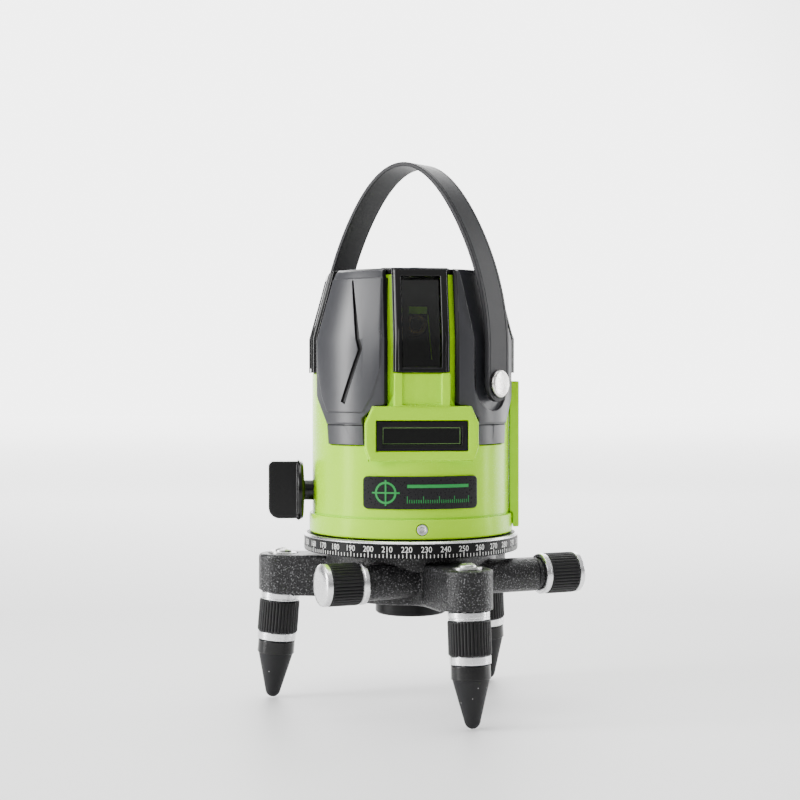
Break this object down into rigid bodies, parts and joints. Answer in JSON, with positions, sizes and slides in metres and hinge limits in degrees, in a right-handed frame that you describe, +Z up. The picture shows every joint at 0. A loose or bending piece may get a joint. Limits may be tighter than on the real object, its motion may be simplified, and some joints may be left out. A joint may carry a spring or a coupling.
{
  "type": "laser level on tripod",
  "caption": "Self-levelling line laser level with a drum-shaped head, strap handle and graduated ring, on a cast base with fine adjusters and screw feet.",
  "frame": {"origin": "middle of the footprint's box, on the surface that the three foot tips stand on", "axes": "+Z up along the spindle; -Y is the front, the side with the horizontal-beam window; +X is the right side, with the battery door"},
  "size_m": [0.1492, 0.1244, 0.2467],
  "materials": {
    "green_shell": "gloss",
    "dark_cover": "satin",
    "black_gloss": "gloss",
    "black_rubber": "matte",
    "foot_rubber": "matte",
    "cast_base": "satin",
    "black_plastic": "satin",
    "dial_black": "satin",
    "silver": "satin",
    "steel": "satin",
    "chrome": "polished",
    "dark_glass": "polished",
    "vial_glass": "polished",
    "brass": "satin",
    "board_green": "satin",
    "badge": "satin"
  },
  "bodies": {
    "base": {"base_casting": "cast_base", "bottom_cover": "black_plastic", "leg_stud_1": "steel", "leg_stud_2": "steel", "leg_stud_3": "steel"},
    "foot_knob_1": {"foot_core_1": "silver", "foot_grip_1": "black_rubber"},
    "foot_tip_1": {"foot_tip_1": "foot_rubber"},
    "foot_knob_2": {"foot_core_2": "silver", "foot_grip_2": "black_rubber"},
    "foot_tip_2": {"foot_tip_2": "foot_rubber"},
    "foot_knob_3": {"foot_core_3": "silver", "foot_grip_3": "black_rubber"},
    "foot_tip_3": {"foot_tip_3": "foot_rubber"},
    "turntable": {"turntable_hub": "silver", "tangent_arm": "brass", "dial_ring": "dial_black"},
    "push_pin_left": {"push_pin_left": "steel"},
    "tangent_knob_left": {"tangent_knob_left": "silver", "tangent_grip_left": "black_rubber"},
    "push_pin_right": {"push_pin_right": "steel"},
    "tangent_knob_right": {"tangent_knob_right": "silver", "tangent_grip_right": "black_rubber"},
    "instrument": {"instrument_base": "green_shell", "band_screw": "steel", "main_housing": "green_shell", "corner_cover_front_right": "dark_cover", "corner_cover_front_left": "dark_cover", "corner_cover_rear_right": "dark_cover", "corner_cover_rear_left": "dark_cover", "window_hood_front": "black_gloss", "window_hood_right": "black_gloss", "window_hood_rear": "black_gloss", "window_hood_left": "black_gloss", "window_glass_front": "dark_glass", "window_glass_right": "dark_glass", "window_glass_rear": "dark_glass", "window_glass_left": "dark_glass", "beam_window_frame": "black_gloss", "beam_window_glass": "dark_glass", "badge_plate": "badge", "battery_pack": "black_plastic", "top_cover": "black_gloss", "bubble_vial": "vial_glass", "handle_rivet_front_right": "chrome", "handle_rivet_rear_left": "chrome", "circuit_board": "board_green"},
    "handle": {"handle_strap": "dark_cover"},
    "lock_knob": {"lock_knob": "black_gloss"},
    "battery_door": {"battery_door": "green_shell"},
    "gimbal": {"gimbal_ring": "silver"},
    "pendulum": {"pendulum_frame": "brass", "vertical_laser_front": "brass", "vertical_laser_right": "brass", "vertical_laser_rear": "brass", "vertical_laser_left": "brass", "horizontal_laser": "brass"},
    "button_power": {"button_power": "dark_cover"},
    "button_pulse": {"button_pulse": "dark_cover"},
    "button_mode": {"button_mode": "dark_cover"}
  },
  "joints": [
    {"name": "foot_1_turn", "type": "hinge", "parent": "base", "child": "foot_knob_1", "pos_m": [0.01407, -0.05143, 0.04966], "axis": [0.0237, -0.0748, -0.9969], "range_deg": [0, 1730]},
    {"name": "foot_1_extend", "type": "slide", "parent": "base", "child": "foot_tip_1", "axis": [0.0237, -0.0748, -0.9969], "range_m": [0, 0.006]},
    {"name": "foot_2_turn", "type": "hinge", "parent": "base", "child": "foot_knob_2", "pos_m": [0.03685, 0.05174, 0.04966], "axis": [0.053, 0.0579, -0.9969], "range_deg": [0, 1730]},
    {"name": "foot_2_extend", "type": "slide", "parent": "base", "child": "foot_tip_2", "axis": [0.053, 0.0579, -0.9969], "range_m": [0, 0.006]},
    {"name": "foot_3_turn", "type": "hinge", "parent": "base", "child": "foot_knob_3", "pos_m": [-0.06389, 0.01988, 0.04966], "axis": [-0.0766, 0.0169, -0.9969], "range_deg": [0, 1730]},
    {"name": "foot_3_extend", "type": "slide", "parent": "base", "child": "foot_tip_3", "axis": [-0.0766, 0.0169, -0.9969], "range_m": [0, 0.006]},
    {"name": "fine_turn", "type": "hinge", "parent": "base", "child": "turntable", "pos_m": [-0.00432, 0.00673, 0.071], "axis": [0, 0, 1], "range_deg": [-3.9, 3.9]},
    {"name": "push_pin_left_slide", "type": "slide", "parent": "base", "child": "push_pin_left", "axis": [0.9535, 0.3015, 0], "range_m": [-0.002, 0.002]},
    {"name": "tangent_knob_left_turn", "type": "hinge", "parent": "push_pin_left", "child": "tangent_knob_left", "pos_m": [0.00457, -0.0214, 0.05916], "axis": [0.9535, 0.3015, 0], "range_deg": [-721, 721]},
    {"name": "push_pin_right_slide", "type": "slide", "parent": "base", "child": "push_pin_right", "axis": [0.9535, 0.3015, 0], "range_m": [-0.00205, 0.00205]},
    {"name": "tangent_knob_right_turn", "type": "hinge", "parent": "push_pin_right", "child": "tangent_knob_right", "pos_m": [0.00457, -0.0214, 0.05916], "axis": [0.9535, 0.3015, 0], "range_deg": [-721, 721]},
    {"name": "instrument_turn", "type": "hinge", "parent": "turntable", "child": "instrument", "pos_m": [-0.00432, 0.00673, 0.078], "axis": [0, 0, 1], "continuous": true},
    {"name": "handle_swing", "type": "hinge", "parent": "instrument", "child": "handle", "pos_m": [-0.00432, 0.00673, 0.14576], "axis": [0.7071, -0.7071, 0], "range_deg": [-95, 95]},
    {"name": "lock_turn", "type": "hinge", "parent": "instrument", "child": "lock_knob", "pos_m": [-0.04933, 0.00673, 0.09716], "axis": [-1, 0, 0], "range_deg": [0, 90]},
    {"name": "battery_door_open", "type": "hinge", "parent": "instrument", "child": "battery_door", "pos_m": [0.04387, 0.01973, 0.113], "axis": [0, 0, 1], "range_deg": [0, 105]},
    {"name": "gimbal_roll", "type": "hinge", "parent": "instrument", "child": "gimbal", "pos_m": [-0.00432, 0.00673, 0.15036], "axis": [1, 0, 0], "range_deg": [-3, 3]},
    {"name": "pendulum_roll", "type": "hinge", "parent": "gimbal", "child": "pendulum", "pos_m": [-0.00432, 0.00673, 0.15036], "axis": [0, 1, 0], "range_deg": [-3, 3]},
    {"name": "button_power_press", "type": "slide", "parent": "instrument", "child": "button_power", "axis": [0, 0, -1], "range_m": [0, 0.0008], "stiffness_N_per_m": 400, "springref_m": -0.0005},
    {"name": "button_pulse_press", "type": "slide", "parent": "instrument", "child": "button_pulse", "axis": [0, 0, -1], "range_m": [0, 0.0008], "stiffness_N_per_m": 400, "springref_m": -0.0005},
    {"name": "button_mode_press", "type": "slide", "parent": "instrument", "child": "button_mode", "axis": [0, 0, -1], "range_m": [0, 0.0008], "stiffness_N_per_m": 400, "springref_m": -0.0005}
  ],
  "couplings": [
    {"joint": "foot_1_turn", "follows": "foot_1_extend", "rad_per_m": 5026.5},
    {"joint": "foot_2_turn", "follows": "foot_2_extend", "rad_per_m": 5026.5},
    {"joint": "foot_3_turn", "follows": "foot_3_extend", "rad_per_m": 5026.5},
    {"joint": "tangent_knob_left_turn", "follows": "push_pin_left_slide", "rad_per_m": 6283.2},
    {"joint": "tangent_knob_right_turn", "follows": "push_pin_left_slide", "rad_per_m": 6283.2},
    {"joint": "push_pin_right_slide", "follows": "push_pin_left_slide", "ratio": 1},
    {"joint": "fine_turn", "follows": "push_pin_left_slide", "rad_per_m": 33.898}
  ]
}
